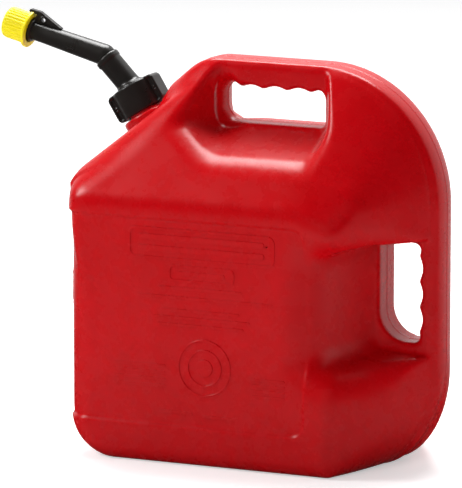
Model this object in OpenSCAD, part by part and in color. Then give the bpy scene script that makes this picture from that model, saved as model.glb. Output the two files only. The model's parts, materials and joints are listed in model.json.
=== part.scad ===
// Plastic fuel can with two moulded-in grips and a bent, self-closing pouring spout.
// Drawn in millimetres, then enlarged by can_scale. The origin is on the floor below the middle of the tank, +Z is up, +X points to the rear
// grip, and the spout points to -X. The two mould halves meet in the plane Y = 0.

/* [Size] */
// Enlargement of the whole drawing: the tank holds 15 litres at 1 and 20 litres at 1.105
can_scale = 1.105; // [1:0.005:1.15]

/* [Tank] */
// Length of the tank from the front wall to the back of the rear grip
tank_length = 332.5; // [326:0.5:345]
// Width of the tank over its two side walls
tank_width = 200; // [192:1:210]
// Height of the tank from the base to the top of the upper grip
tank_height = 353.7; // [350:0.1:358]
// Wall thickness of the blow moulding
wall = 3; // [2.5:0.5:4]
// Width of the flat rim that runs over the top and down the back
rim_width = 38; // [34:1:42]
// Depth of the panel belt below the side walls
belt_depth = 2.2; // [1.5:0.1:2.6]

/* [Grips] */
// Distance from one finger groove to the next
groove_pitch = 23; // [20:0.5:24]
// Depth of a finger groove
groove_depth = 3.6; // [2:0.1:5]

/* [Neck and collar] */
// Lean of the neck from the vertical, towards the front
neck_lean = 32; // [28:1:36]
// Inner radius of the neck
neck_bore = 12.2; // [12:0.1:12.6]
// Rise of the collar in one turn
thread_pitch = 6; // [4:0.5:7]
// Width of the collar over its two wings
collar_span = 51.4; // [46:0.2:54]

/* [Spout] */
// Lean of the lower tube from the vertical
lower_lean = 44.4; // [42:0.2:46]
// Lean of the upper tube from the vertical
upper_lean = 75.8; // [70:0.2:80]
// Outer radius of the lower tube
lower_radius = 10.8; // [10.8:0.1:11]
// Outer radius of the upper tube next to the bend
barrel_radius = 9.9; // [9.8:0.1:10.2]
// Outer radius of the upper tube at the tip
barrel_tip_radius = 8.6; // [8.6:0.1:8.8]
// Travel of the trigger along the upper tube
trigger_travel = 8; // [5:0.5:8]

/* [Cap] */
// Outer radius of the cap without its ribs
cap_radius = 13.8; // [13.4:0.1:14]
// Outer radius of the cap's flange
flange_radius = 17; // [15.5:0.1:18]
// Number of grip ribs around the cap
rib_count = 28; // [16:2:36]

/* [Hidden] */
$fn = 64;
eps = 0.01;
running_gap = 0.05;   // radial clearance of a piece that turns or slides in another
seat_gap = 0.02;      // gap between two pieces that rest on each other

// Tank: planes, slopes and radii that its rings are worked out from
front_x = -172;
rear_x = front_x + tank_length;
half_width = tank_width / 2;
rim_half = rim_width / 2;
top_slope = 1.44;          // fall of the shoulders per millimetre away from the rim
rear_slope = 0.76;         // how fast the back face runs forward away from the rim
face_crown = 2;            // swell of the shoulders and the back face between rim and side wall
rear_round = 5;            // how far the back of the rear grip rounds off towards its edges
rim_step = 2.5;            // height of the rim above the shoulders beside it
rim_blend = 6;             // width over which the rim drops to the shoulders
side_radius = 26;          // rounding between the side walls and the shoulders
front_radius = 32;         // rounding between the side walls and the front
base_radius = 12;          // rounding along the bottom edges
foot_radius = 50;          // rounding of the bottom front edge, seen from the side
arc_radius = 119;          // rounding of the top rear corner, seen from the side
arc_least = 10;            // least height of that rounding, at the side walls
heel_length = [66, 10];    // bottom rear corner, length at the middle and at the side walls
heel_height = [100, 12];    // bottom rear corner, height at the middle and at the side walls
face_angle = 40.8;         // slope of the face that carries the neck
face_height = 250;         // height where that face would meet the front wall
brow_radius = 30;          // rounding between the front wall and the sloped face
crest_blend = 10;          // softness of the crest between the sloped face and the shoulders
root_height = 15.5;        // rise of the upper grip's root above the sloped face
root_start = -120;         // where that root begins
root_run = 22;             // length over which it rises
root_fade = 22;            // width over which it fades out beside the rim
heel_points = 6;           // points along each round stretch of the outline
arc_points = 10;
top_points = 20;
brow_points = 4;
foot_points = 6;
shoulder_rings = 5;        // rings between the rim and the rounded sides
side_rings = 6;            // rings over that rounding

// Grip openings and the recesses beside them, seen from the side
grip_low = 298;            // bottom edge of the upper opening
grip_high = 330.7;         // mean height of its grooved edge
grip_front = -52;
grip_rear = 50;
grip_centre = 1;           // middle of the four upper grooves
back_front = 103;          // front edge of the rear opening
back_rear = 142.5;         // mean position of its grooved edge
back_low = 112.5;
back_high = 201.7;
back_centre = 156.7;         // middle of the four rear grooves
corner_round = 10;         // rounding of the openings' corners
groove_points = 32;        // points along each grooved edge
belt_low = 36;
belt_high = 221;
belt_rear = 66;
belt_round = 12;
recess_reach = half_width + 4;

// Neck frame: local +Z runs out of the neck, from the sloped face
neck_x = -127.14;
neck_wall = 3.2;
neck_top = 31.5;
neck_sink = 5;             // how far the neck's root reaches below the sloped face
boss_radius = 23.5;        // raised boss that carries the neck
boss_top = 9.9;
thread_height = 1;
thread_width = 2;
thread_first = 14.5;       // first thread ridge above the sloped face
gasket_height = 1.8;
plate_height = 2.5;        // flange of the spout base and end plate of the collar
collar_low = 12.3;
collar_inner = 17.4;
collar_wall = 2.6;
collar_hole = 13.6;
collar_wing = 16;          // thickness of the two wings
wing_round = 4.5;
ring_mark = 3.4;           // radius of the plain ring on each wing
gasket_low = neck_top + seat_gap;
flange_low = gasket_low + gasket_height + seat_gap;
plate_low = flange_low + plate_height + seat_gap;
collar_top = plate_low + plate_height;
bend_height = 30.2;        // where the lower tube's axis leaves the neck's axis

// Lower tube frame: local +Z runs from the bend in the collar to the seam
seam_height = 43;
socket_depth = 12;
socket_radius = 9.2;
lower_bore = 8;
seam_band = 3;
clip_low = seam_height - 4.2;
clip_height = 1.2;
clip_bite = 0.6;           // depth of the clip's groove in the socket
vent_radius = 2;
vent_bore = 1.3;
vent_length = 70;
vent_low = -42;
holder_low = 14;
holder_height = 5;

// Upper tube frame: local +Z runs from the elbow to the tip
elbow_offset = 2.5;        // the elbow's centre lies this far past the seam
barrel_bore = 6.3;
barrel_end = 96;
taper_end = 60;            // the tube is straight from here to the tip
seal_groove = 2.6;
seal_depth = 1.3;
seal_land = 1.4;           // wall between the seal's groove and the clip's
spring_low = 50;
spring_length = 22.6;
spring_turns = 7;
spring_wire = 0.55;
spring_radius = 3.6;
seat_height = 3;
rod_radius = 1.5;
rod_low = 44;
rod_collar = 4.6;
rod_boss = 2.6;            // thickening of the rod around the cross pin
pin_height = 84;
pin_radius = 1.25;
plug_low = 86.2;
plug_high = 91.6;
plug_radius = 5.4;
plug_cone = 1.6;           // height of the cone on the plug's front
plug_groove = 1.6;         // width of the groove for its seal
tip_hole = 4;
sleeve_low = 72;
sleeve_high = 88;
sleeve_radius = 10.8;
fin_thickness = 5;
fin_foot = 46;
fin_peak = [19, 70];       // highest corner of the fin: height above the axis, place along it
fin_hole = [12.2, 65.2];   // centre of the small hole through the fin
fin_hole_radius = 1.9;
hook_low = 73;             // where the hook's underside starts
hook_tip = 79;
hook_height = 16.8;
hook_radius = 1.8;
cap_low = 74.8;
cap_height = 25;
cap_wall = 2;
cap_flange = 3;
notch_gap = 0.6;           // clearance of the flange's notch beside the hook
cap_grip_low = 89;         // start of the inner skirt that grips the tip
liner_height = 1.5;

// Height of the sloped face at x
function face_z(x) = face_height + tan(face_angle) * (x - front_x);

// Ease from 0 to 1
function ease(u) = let (c = max(0, min(1, u))) c * c * (3 - 2 * c);

// The smaller of two values, with a soft change from one to the other
function soft_min(p, q, k) = let (h = max(k - abs(p - q), 0) / k) min(p, q) - h * h * k / 4;

// How far a face has drawn in at a distance from the mould plane: it slopes away from the rim,
// then rounds over into the side wall. The inset t moves every face inwards by t.
function draw_in(dist, slope, radius, t) =
    let (
        r = radius - t,
        centre = half_width - t - r,
        rim = rim_half - t,
        tangent = centre + r * sin(atan(slope))
    )
    dist <= rim && slope > 0 ? 0
    : dist < tangent ? slope * max(0, dist - rim)
        - face_crown * sign(slope) * sin(180 * (dist - rim) / (tangent - rim))
    : slope * (tangent - rim) + r * cos(atan(slope)) - sqrt(max(0, r * r - pow(dist - centre, 2)));

function rim_drop(dist, t) = rim_step * ease((dist - rim_half + t + rim_blend - 1) / rim_blend);

function arc(centre, rx, rz, from, to, count) =
    [for (i = [0:count - 1])
        let (turn = from + (to - from) * i / (count - 1))
        [centre[0] + rx * cos(turn), centre[1] + rz * sin(turn)]];

// Outline of the tank in one plane parallel to the mould plane, as [x, z] points. The inset t gives
// the cavity's outline, and share is the part of the points that it keeps.
function tank_ring(dist, t, share) =
    let (
        u = dist / half_width,
        back = rear_x - t - draw_in(dist, rear_slope, side_radius, t) - rim_drop(dist, t)
            - rear_round * pow(min(dist / rim_half, 1), 2.5),
        top = tank_height - t - draw_in(dist, top_slope, side_radius, t) - rim_drop(dist, t),
        front_in = t + draw_in(dist, 0, front_radius, t),
        low = t + draw_in(dist, 0, base_radius, t),
        heel_x = heel_length[0] + (heel_length[1] - heel_length[0]) * u,
        heel_z = heel_height[0] + (heel_height[1] - heel_height[0]) * u,
        arc_centre = [rear_x - arc_radius, min(tank_height - arc_radius, top - arc_least)],
        brow = [front_x + brow_radius, face_z(front_x + brow_radius) - brow_radius / cos(face_angle)],
        brow_r = brow_radius - front_in,
        start = brow[0] + brow_r * cos(90 + face_angle),
        foot = [front_x + foot_radius, foot_radius],
        fade = 1 - ease((dist - rim_half + t + 4) / root_fade),
        tops = top_points * share
    )
    concat(
        arc([back - heel_x, low + heel_z], heel_x, heel_z, -90, 0, heel_points * share),
        arc(arc_centre, back - arc_centre[0], top - arc_centre[1], 0, 90, arc_points * share),
        [for (i = [1:tops])
            let (
                x = arc_centre[0] + (start - arc_centre[0]) * i / (tops + 1),
                root = root_height * ease((x - root_start) / root_run) * fade,
                face = face_z(x) - front_in / cos(face_angle) + root
            )
            [x, soft_min(top, face, crest_blend)]],
        [for (p = arc(brow, brow_r, brow_r, 90 + face_angle, 180, brow_points * share))
            [p[0], soft_min(top, p[1], crest_blend)]],
        arc(foot, foot_radius - front_in, foot_radius - low, 180, 270, foot_points * share)
    );

// Distances from the mould plane at which the outline is taken
function ring_places(t, share) =
    let (
        r = side_radius - t,
        rim = rim_half - t,
        centre = half_width - t - r,
        steps = ceil(shoulder_rings * share),
        turns = side_rings * share
    )
    concat(
        [rim - 5, rim - 3, rim - 1, rim + 1],
        [for (i = [1:steps]) rim + (centre - rim) * i / (steps + 1)],
        [for (i = [0:turns]) centre + r * sin(90 * i / turns)]
    );

// Closed solid through the outlines, from one side wall to the other
module tank_form(t, share = 1) {
    places = ring_places(t, share);
    half_count = len(places);
    ys = concat([for (i = [half_count - 1:-1:0]) -places[i]], places);
    rings = [for (y = ys) [for (p = tank_ring(abs(y), t, share)) [p[0], y, p[1]]]];
    n = len(rings[0]);
    rows = len(rings);
    sides = [for (j = [0:rows - 2], i = [0:n - 1])
        let (a = j * n + i, b = j * n + (i + 1) % n)
        each [[a, b, a + n], [b, b + n, a + n]]];
    near_cap = [for (i = [n - 1:-1:0]) i];
    far_cap = [for (i = [0:n - 1]) (rows - 1) * n + i];
    polyhedron(points = [for (ring = rings) each ring], faces = concat(sides, [near_cap, far_cap]));
}

// Extrudes an outline drawn in X and Z along Y, centred on the mould plane
module across(width) {
    rotate([90, 0, 0])
        linear_extrude(height = width, center = true)
            children();
}

function wave(u, middle) = groove_depth / 2 * cos(360 * (u - middle) / groove_pitch + 180);

// Opening of the upper grip, with its grooves along the top
module upper_opening() {
    across(rim_width + 4)
        polygon(concat(
            [[grip_rear, grip_low], [grip_front + corner_round, grip_low],
                [grip_front + corner_round / 4, grip_low + corner_round / 4],
                [grip_front, grip_low + corner_round]],
            [for (i = [0:groove_points])
                let (x = grip_front + (grip_rear - grip_front) * i / groove_points)
                [x, grip_high + wave(x, grip_centre)]]
        ));
}

// Opening of the rear grip, with its grooves along the back
module rear_opening() {
    across(rim_width + 4)
        polygon(concat(
            [[back_front, back_high], [back_front, back_low + 2 * corner_round],
                [back_front + corner_round / 2, back_low + corner_round / 2],
                [back_front + 2 * corner_round, back_low]],
            [for (i = [0:groove_points])
                let (z = back_low + (back_high - back_low) * i / groove_points)
                [back_rear + wave(z, back_centre), z]]
        ));
}

// Plain block round an opening, a wall's thickness larger, that the cavity stays clear of
module opening_block(low, high) {
    reach = wall + groove_depth / 2;
    translate([low[0] - wall, -rim_width / 2, low[1] - wall])
        cube([high[0] - low[0] + wall + reach, rim_width, high[1] - low[1] + wall + reach]);
}

// Moves each point of an outline away from a centre by the same amount in X and Z
function spread(points, centre, grow) =
    [for (p = points)
        [p[0] + grow * sign(p[0] - centre[0]), p[1] + grow * sign(p[1] - centre[1])]];

// Hollow on the near side of a grip: it widens from a narrow outline at the rim to a wide one past
// the side wall. Both outlines run clockwise as [x, z] points.
module grip_recess(narrow, wide, centre, grow) {
    n = len(narrow);
    rim = [for (p = spread(narrow, centre, grow)) [p[0], grow - rim_half, p[1]]];
    mouth = [for (p = spread(wide, centre, grow)) [p[0], -recess_reach, p[1]]];
    walls = [for (i = [0:n - 1])
        let (next = (i + 1) % n)
        each [[i, next, i + n], [next, next + n, i + n]]];
    rim_cap = [for (i = [n - 1:-1:0]) i];
    mouth_cap = [for (i = [0:n - 1]) i + n];
    polyhedron(points = concat(rim, mouth), faces = concat(walls, [rim_cap, mouth_cap]));
}

module upper_recess(grow) {
    high = tank_height + 20;
    front = grip_front - 2;
    rear = grip_rear + 2;
    low = grip_low - 1;
    grip_recess(
        [[front, low + 1], [front, high], [rear, high], [rear, low + 2], [rear - 1, low],
            [front + 1, low]],
        [[-101, 300], [-103, high], [85, high], [83, 300], [59, 263], [-37, 262]],
        [grip_centre, grip_high], grow);
}

module rear_recess(grow) {
    far = rear_x + 25;
    front = back_front - 1;
    low = back_low - 1;
    high = back_high + 4;
    grip_recess(
        [[front, low + 1], [front, high - 2], [front + 1, high], [far, high + 1], [far, low - 9],
            [front + 1, low]],
        [[63, 60], [63, 185], [70, 195], [far, 195], [far, 50], [70, 55]],
        [(back_front + far) / 2, back_centre], grow);
}

// Hollows beside both grips
module grip_recesses(grow) {
    for (side = [0, 1])
        mirror([0, side, 0]) {
            upper_recess(grow);
            rear_recess(grow);
        }
}

// Shallow belt that wraps round the front, from one side panel to the other
module belt_cut() {
    difference() {
        across(tank_width + 2)
            polygon([[-tank_length, belt_low], [belt_rear - belt_round, belt_low],
                [belt_rear, belt_low + belt_round], [belt_rear, belt_high - belt_round],
                [belt_rear - belt_round, belt_high], [-tank_length, belt_high]]);
        tank_form(belt_depth);
    }
}

// Places its children in the frame of the neck
module in_neck() {
    translate([neck_x, 0, face_z(neck_x)])
        rotate([0, -neck_lean, 0])
            children();
}

// Places its children in the frame of the lower tube
module in_lower() {
    in_neck()
        translate([0, 0, bend_height])
            rotate([0, neck_lean - lower_lean, 0])
                children();
}

// Places its children in the frame of the upper tube
module in_upper() {
    in_lower()
        translate([0, 0, seam_height + elbow_offset])
            rotate([0, lower_lean - upper_lean, 0])
                children();
}

module ring(inner, outer, low, height) {
    translate([0, 0, low])
        difference() {
            cylinder(r = outer, h = height);
            translate([0, 0, -1])
                cylinder(r = inner, h = height + 2);
        }
}

module rod(radius, low, high) {
    translate([0, 0, low])
        cylinder(r = radius, h = high - low);
}

module o_ring(radius, thickness, height) {
    translate([0, 0, height])
        rotate_extrude()
            translate([radius, 0])
                circle(r = thickness / 2);
}

// Small hole from the cavity to the outside, which the neck's bore then opens up
module pilot_hole() {
    in_neck()
        translate([0, 0, -4 * neck_sink])
            cylinder(r = neck_bore / 2, h = 8 * neck_sink, $fn = 8);
}

module tank_shell() {
    difference() {
        tank_form(0);
        upper_opening();
        rear_opening();
        grip_recesses(0);
        belt_cut();
        pilot_hole();
        difference() {
            tank_form(wall, 0.5);
            opening_block([grip_front, grip_low], [grip_rear, grip_high]);
            opening_block([back_front, back_low], [back_rear, back_high]);
            grip_recesses(wall);
        }
    }
}

module tank() {
    color([0.75, 0.03, 0.06])
        difference() {
            union() {
                resize([tank_length, tank_width, 0])
                    tank_shell();
                in_neck() {
                    rod(boss_radius, -neck_sink, boss_top);
                    rod(neck_bore + neck_wall, -neck_sink, neck_top);
                    for (i = [0:2])
                        rod(neck_bore + neck_wall + thread_height, thread_first + i * thread_pitch,
                            thread_first + i * thread_pitch + thread_width);
                }
            }
            in_neck()
                rod(neck_bore, -4 * neck_sink, neck_top + 1);
        }
}

module neck_gasket() {
    color([0.12, 0.12, 0.12])
        in_neck()
            ring(neck_bore, neck_bore + neck_wall, gasket_low, gasket_height);
}

module rounded_plate(width, low, high, radius) {
    translate([-width / 2, low])
        square([width, high - low - radius]);
    translate([-width / 2 + radius, low])
        square([width - 2 * radius, high - low]);
    for (side = [-1, 1])
        translate([side * (width / 2 - radius), high - radius])
            circle(r = radius);
}

// Screw collar: a round skirt, an end plate and two wings to turn it by
module collar() {
    skirt = collar_inner + collar_wall;
    mark_x = (collar_span / 2 + skirt) / 2 - 1;
    color([0.11, 0.1, 0.1])
        in_neck()
            difference() {
                union() {
                    rod(skirt, collar_low, collar_top);
                    across(collar_wing)
                        rounded_plate(collar_span, collar_low, collar_top, wing_round);
                    for (side = [-1, 1])
                        translate([side * mark_x, 0, (collar_low + collar_top) / 2])
                            across(collar_wing + 1)
                                circle(r = ring_mark);
                }
                rod(collar_inner, collar_low - 1, plate_low);
                rod(collar_hole, plate_low - 1, collar_top + 1);
            }
}

// Lower tube with its flange, the spigot in the neck and the socket for the upper tube
module spout_base() {
    color([0.13, 0.12, 0.11])
        difference() {
            union() {
                in_neck() {
                    rod(neck_bore + neck_wall + thread_height, flange_low, flange_low + plate_height);
                    rod(neck_bore - 0.6, neck_top - 10, flange_low + eps);
                }
                in_lower() {
                    rod(lower_radius, 0, seam_height);
                    rod(lower_radius + 0.4, seam_height - seam_band - 1, seam_height - 1);
                }
            }
            in_neck()
                rod(lower_bore, neck_top - 12, bend_height + 1);
            in_lower() {
                rod(lower_bore, -2, seam_height + 1);
                rod(socket_radius, seam_height - socket_depth, seam_height + 1);
                rod(socket_radius + clip_bite, clip_low, clip_low + clip_height);
            }
        }
}

// Air tube that lets the tank breathe while it pours
module vent_tube() {
    color([0.75, 0.75, 0.72])
        in_lower()
            ring(vent_bore, vent_radius, vent_low, vent_length);
}

// Three-legged holder that keeps the air tube in the middle of the lower tube
module vent_holder() {
    hub = vent_radius + running_gap;
    spoke = 1.2;
    color([0.2, 0.2, 0.2])
        in_lower() {
            ring(lower_bore - spoke, lower_bore - seat_gap, holder_low, holder_height);
            ring(hub, hub + spoke, holder_low, holder_height);
            for (turn = [0:120:240])
                rotate([0, 0, turn])
                    translate([hub + spoke / 2, -spoke / 2, holder_low + spoke / 2])
                        cube([lower_bore - hub - spoke, spoke, holder_height - spoke]);
        }
}

// Upper tube: a spigot that turns in the lower tube, the elbow and the tapered pouring tube
module barrel() {
    spigot = socket_radius - running_gap;
    spigot_low = seam_height - socket_depth + 0.3;
    groove = clip_low - seal_land - seal_groove;
    color([0.13, 0.12, 0.11])
        difference() {
            union() {
                in_lower() {
                    rod(spigot, spigot_low, seam_height + elbow_offset);
                    rod(barrel_radius, seam_height + running_gap, seam_height + elbow_offset);
                }
                in_upper() {
                    sphere(r = barrel_radius);
                    cylinder(r1 = barrel_radius, r2 = barrel_tip_radius, h = taper_end);
                    rod(barrel_tip_radius, taper_end - eps, barrel_end);
                }
            }
            in_lower() {
                rod(barrel_bore, spigot_low - 1, seam_height + elbow_offset);
                ring(spigot, barrel_radius + 1, seam_height - barrel_radius, barrel_radius + running_gap);
                ring(socket_radius - seal_depth, socket_radius + 1, groove, seal_groove);
                ring(socket_radius - clip_bite - 0.2, socket_radius + 1, clip_low, clip_height);
            }
            in_upper() {
                sphere(r = barrel_bore);
                rod(barrel_bore, 0, barrel_end + 1);
                rod(barrel_bore + 0.8, plug_high + 0.6, barrel_end + 1);
                for (side = [-1, 1])
                    translate([0, side * barrel_tip_radius, 0])
                        pin_slot();
            }
        }
}

// Slot in the wall of the upper tube that the cross pin travels in
module pin_slot() {
    half = pin_radius + 0.15;
    translate([-half, -barrel_tip_radius / 2, pin_height - trigger_travel])
        cube([2 * half, barrel_tip_radius, trigger_travel]);
    for (z = [pin_height - trigger_travel, pin_height])
        translate([0, 0, z])
            across(barrel_tip_radius)
                circle(r = half);
}

module barrel_o_ring() {
    color([0.08, 0.08, 0.08])
        in_lower()
            o_ring(socket_radius - seal_depth / 2, seal_depth - 2 * seat_gap,
                clip_low - seal_land - seal_groove / 2);
}

// Snap ring that sits half in the socket and half in the spigot, with a gap to spring it in by
module barrel_clip() {
    gap = 5;
    color([0.55, 0.56, 0.58])
        in_lower()
            difference() {
                ring(socket_radius - clip_bite, socket_radius + clip_bite - seat_gap,
                    clip_low + seat_gap, clip_height - 2 * seat_gap);
                translate([0, -gap / 2, clip_low - 1])
                    cube([socket_radius + 2, gap, clip_height + 2]);
            }
}

// Perforated disc in the upper tube: it guides the rod and the spring pushes on it
module spring_seat() {
    hub = rod_radius + running_gap;
    color([0.2, 0.2, 0.2])
        in_upper()
            difference() {
                rod(barrel_bore - seat_gap, spring_low - seat_height, spring_low);
                rod(hub, spring_low - seat_height - 1, spring_low + 1);
                for (turn = [0:60:300])
                    rotate([0, 0, turn])
                        translate([barrel_bore * 0.72, 0, 0])
                            rod(0.9, spring_low - seat_height - 1, spring_low + 1);
            }
}

// Ring in the tip that the plug closes on
module tip_seat() {
    low = plug_high + 0.6 + seat_gap;
    color([0.35, 0.35, 0.36])
        in_upper()
            ring(tip_hole, barrel_bore + 0.8 - seat_gap, low, barrel_end - low);
}

// Outline of the fin in the upper tube's frame: height above the tube's axis, distance along it
function fin_outline() = concat(
    [[barrel_radius + 0.1, fin_foot], [barrel_tip_radius + 1, fin_foot + 2],
        [barrel_tip_radius + 0.5, sleeve_low], [sleeve_radius - 1, sleeve_low],
        [sleeve_radius - 1, hook_low + 1.6], [hook_height - hook_radius, hook_low]],
    arc([hook_height, hook_tip], hook_radius, hook_radius, 180, 0, 9),
    [[fin_peak[0], fin_peak[1]], [fin_peak[0] - 0.4, fin_peak[1] - 1.6]]
);

// Sliding sleeve with the hooked fin that catches on the rim of a filler
module trigger() {
    inner = barrel_tip_radius + running_gap;
    color([0.11, 0.11, 0.11])
        in_upper()
            difference() {
                union() {
                    rod(sleeve_radius, sleeve_low, sleeve_high);
                    across(fin_thickness)
                        polygon(fin_outline());
                }
                rod(inner, sleeve_low - 1, sleeve_high + 1);
                translate([0, 0, pin_height])
                    across(2 * sleeve_radius + 2)
                        circle(r = pin_radius);
                translate([fin_hole[0], 0, fin_hole[1]])
                    across(2 * fin_thickness)
                        circle(r = fin_hole_radius);
            }
}

// Cross pin that ties the rod to the sleeve
module rod_pin() {
    color([0.6, 0.6, 0.62])
        in_upper()
            translate([0, 0, pin_height])
                across(2 * sleeve_radius - 0.6)
                    circle(r = pin_radius - seat_gap);
}

module valve_rod() {
    color([0.62, 0.6, 0.55])
        in_upper()
            difference() {
                union() {
                    rod(rod_radius, rod_low, plug_low + 2);
                    rod(rod_collar, spring_low + spring_length + 0.1, spring_low + spring_length + 1.6);
                    rod(rod_boss, pin_height - 3, plug_low - seat_gap);
                }
                translate([0, 0, pin_height])
                    across(4 * rod_collar)
                        circle(r = pin_radius);
            }
}

// Plug with a socket for the rod, a groove for its seal and a cone towards the tip
module valve_plug() {
    color([0.16, 0.16, 0.16])
        in_upper()
            difference() {
                union() {
                    rod(plug_radius, plug_low, plug_high - plug_cone);
                    translate([0, 0, plug_high - plug_cone - eps])
                        cylinder(r1 = plug_radius, r2 = tip_hole - 0.4, h = plug_cone + eps);
                    rod(tip_hole - 0.5, plug_high - eps, barrel_end - 1.5);
                }
                rod(rod_radius + seat_gap, plug_low - 1, plug_low + 2 + seat_gap);
                ring(plug_radius - 0.7, plug_radius + 1, plug_low + 1.2, plug_groove);
            }
}

module plug_seal() {
    color([0.08, 0.08, 0.08])
        in_upper()
            o_ring(plug_radius + 0.05, 1.4, plug_low + 2);
}

// Coil spring, as a chain of short straight pieces of round wire along the coil
module return_spring() {
    per_turn = 16;
    count = spring_turns * per_turn;
    low = spring_low + spring_wire + 0.1;
    rise = spring_length - 2 * spring_wire - 0.2;
    sides = 8;
    path = [for (i = [0:count])
        let (turn = 360 * i / per_turn)
        [cos(turn), sin(turn), low + rise * i / count]];
    points = [for (p = path, k = [0:sides - 1])
        let (
            bearing = 360 * k / sides,
            r = spring_radius + spring_wire * cos(bearing)
        )
        [r * p[0], r * p[1], p[2] + spring_wire * sin(bearing)]];
    skin = [for (i = [0:count - 1], k = [0:sides - 1])
        let (a = i * sides + k, b = i * sides + (k + 1) % sides)
        each [[a, b, a + sides], [b, b + sides, a + sides]]];
    start_cap = [for (k = [sides - 1:-1:0]) k];
    end_cap = [for (k = [0:sides - 1]) count * sides + k];
    color([0.7, 0.7, 0.72])
        in_upper()
            polyhedron(points = points, faces = concat(skin, [start_cap, end_cap]));
}

// Ribbed cap with a wide flange, notched for the hook, and an inner skirt that grips the tip
module tip_cap() {
    end = cap_low + cap_height;
    inside = cap_radius - cap_wall;
    floor_low = end - cap_wall;
    color([0.93, 0.86, 0.05])
        in_upper()
            difference() {
                union() {
                    rod(cap_radius, cap_low, end - 1);
                    translate([0, 0, end - 1 - eps])
                        cylinder(r1 = cap_radius, r2 = cap_radius - 1, h = 1 + eps);
                    rod(flange_radius, cap_low, cap_low + cap_flange);
                    for (i = [0:rib_count - 1])
                        rotate([0, 0, 360 * i / rib_count])
                            translate([cap_radius - 0.6, -0.7, cap_low + 1])
                                cube([1.2, 1.4, cap_height - 3]);
                }
                difference() {
                    rod(inside, cap_low - 1, floor_low);
                    ring(barrel_tip_radius + running_gap, barrel_tip_radius + 1.5, cap_grip_low,
                        end - cap_grip_low);
                }
                translate([cap_radius, -fin_thickness / 2 - notch_gap, cap_low - 1])
                    cube([flange_radius, fin_thickness + 2 * notch_gap, cap_height]);
            }
}

module cap_liner() {
    low = barrel_end + seat_gap;
    color([0.85, 0.85, 0.82])
        in_upper()
            rod(barrel_tip_radius - 0.1, low, low + liner_height);
}

scale(can_scale) tank();
scale(can_scale) neck_gasket();
scale(can_scale) collar();
scale(can_scale) spout_base();
scale(can_scale) vent_tube();
scale(can_scale) vent_holder();
scale(can_scale) barrel();
scale(can_scale) barrel_o_ring();
scale(can_scale) barrel_clip();
scale(can_scale) spring_seat();
scale(can_scale) tip_seat();
scale(can_scale) trigger();
scale(can_scale) rod_pin();
scale(can_scale) valve_rod();
scale(can_scale) valve_plug();
scale(can_scale) plug_seal();
scale(can_scale) return_spring();
scale(can_scale) tip_cap();
scale(can_scale) cap_liner();
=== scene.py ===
import json
import math
import bmesh
import bpy
import numpy as np
from mathutils import Matrix, Vector


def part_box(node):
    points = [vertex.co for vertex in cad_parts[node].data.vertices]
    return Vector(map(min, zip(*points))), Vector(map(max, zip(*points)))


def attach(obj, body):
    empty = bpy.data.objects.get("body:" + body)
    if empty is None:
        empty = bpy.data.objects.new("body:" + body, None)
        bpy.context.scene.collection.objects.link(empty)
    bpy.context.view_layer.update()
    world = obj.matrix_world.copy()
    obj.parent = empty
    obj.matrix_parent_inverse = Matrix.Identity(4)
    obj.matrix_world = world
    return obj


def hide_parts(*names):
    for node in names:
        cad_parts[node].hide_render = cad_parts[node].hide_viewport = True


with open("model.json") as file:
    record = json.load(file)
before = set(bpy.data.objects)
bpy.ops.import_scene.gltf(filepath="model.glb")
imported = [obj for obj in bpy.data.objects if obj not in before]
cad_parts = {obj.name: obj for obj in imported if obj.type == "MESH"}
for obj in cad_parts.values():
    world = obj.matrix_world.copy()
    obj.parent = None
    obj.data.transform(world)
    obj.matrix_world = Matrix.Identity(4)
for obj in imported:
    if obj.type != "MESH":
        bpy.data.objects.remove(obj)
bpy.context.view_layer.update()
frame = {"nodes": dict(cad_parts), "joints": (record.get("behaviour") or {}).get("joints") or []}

# Looks of a plastic fuel can with two moulded-in grips and a bent pouring spout.
# Shapes are written as distance functions in drawing millimetres: negative inside, positive outside.
# Each one becomes a smooth closed mesh. The tank's function is in the row frame. The spout's pieces are
# in frames whose local Z runs along their tube, which the record's joints give.

COARSE = 1.0

JOINTS = {joint["name"]: joint for joint in frame["joints"]}
tank_low, tank_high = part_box("tank")

# ---------------------------------------------------------------- dimensions, in drawing millimetres
FRONT_X = -172.0
REAR_X = 160.5
HALF_WIDTH = 100.0         # of the side walls, away from the mould plane
HEIGHT = 353.7             # top of the rim; the neck reaches a little higher
MM = (tank_high.x - tank_low.x) / (REAR_X - FRONT_X)   # metres for one drawing millimetre
RIM_HALF = 19.0            # half width of the flat rim that runs over the top and the back
RIM_STEP = 2.5             # height of the rim above the shoulders beside it
RIM_BLEND = 6.0            # width of the step beside the rim
TOP_SLOPE = 1.44           # fall of the shoulders away from the rim
REAR_SLOPE = 0.76
REAR_ROUND = 5.0           # how far the back of the rear grip rounds off towards its edges
FACE_CROWN = 2.0           # swell of the shoulders and the back face
SHOULDER_RUN = 76.0        # width of the shoulders between rim and side rounding
SIDE_RADIUS = 26.0         # rounding of the side walls into the shoulders and the back
FRONT_RADIUS = 32.0        # the same into the front wall
BASE_RADIUS = 12.0         # the same into the base
FOOT_RADIUS = 50.0         # front wall into the base, seen from the side
BROW_RADIUS = 30.0         # front wall into the sloped face
ARC_RADIUS = 119.0         # top rear corner, seen from the side
ARC_LEAST = 30.0           # least height of that corner, at the side walls
HEEL_LENGTH = (66.0, 10.0)         # low rear corner: length at the mould plane and at the side wall
HEEL_HEIGHT = (100.0, 12.0)        # the same for its height
FACE_ANGLE = math.radians(40.8)
FACE_HEIGHT = 250.0        # where the sloped face would meet the front wall
CREST_BLEND = 10.0         # softness of the crest between sloped face and top, at the rim
EDGE_BLEND = 28.0          # the same edge at the side walls
ROOT_HEIGHT = 15.5         # rise of the sloped face behind the neck, near the mould plane
ROOT_START = -120.0
ROOT_RUN = 22.0            # length over which it rises
ROOT_FADE = 22.0           # width over which it fades
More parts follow.
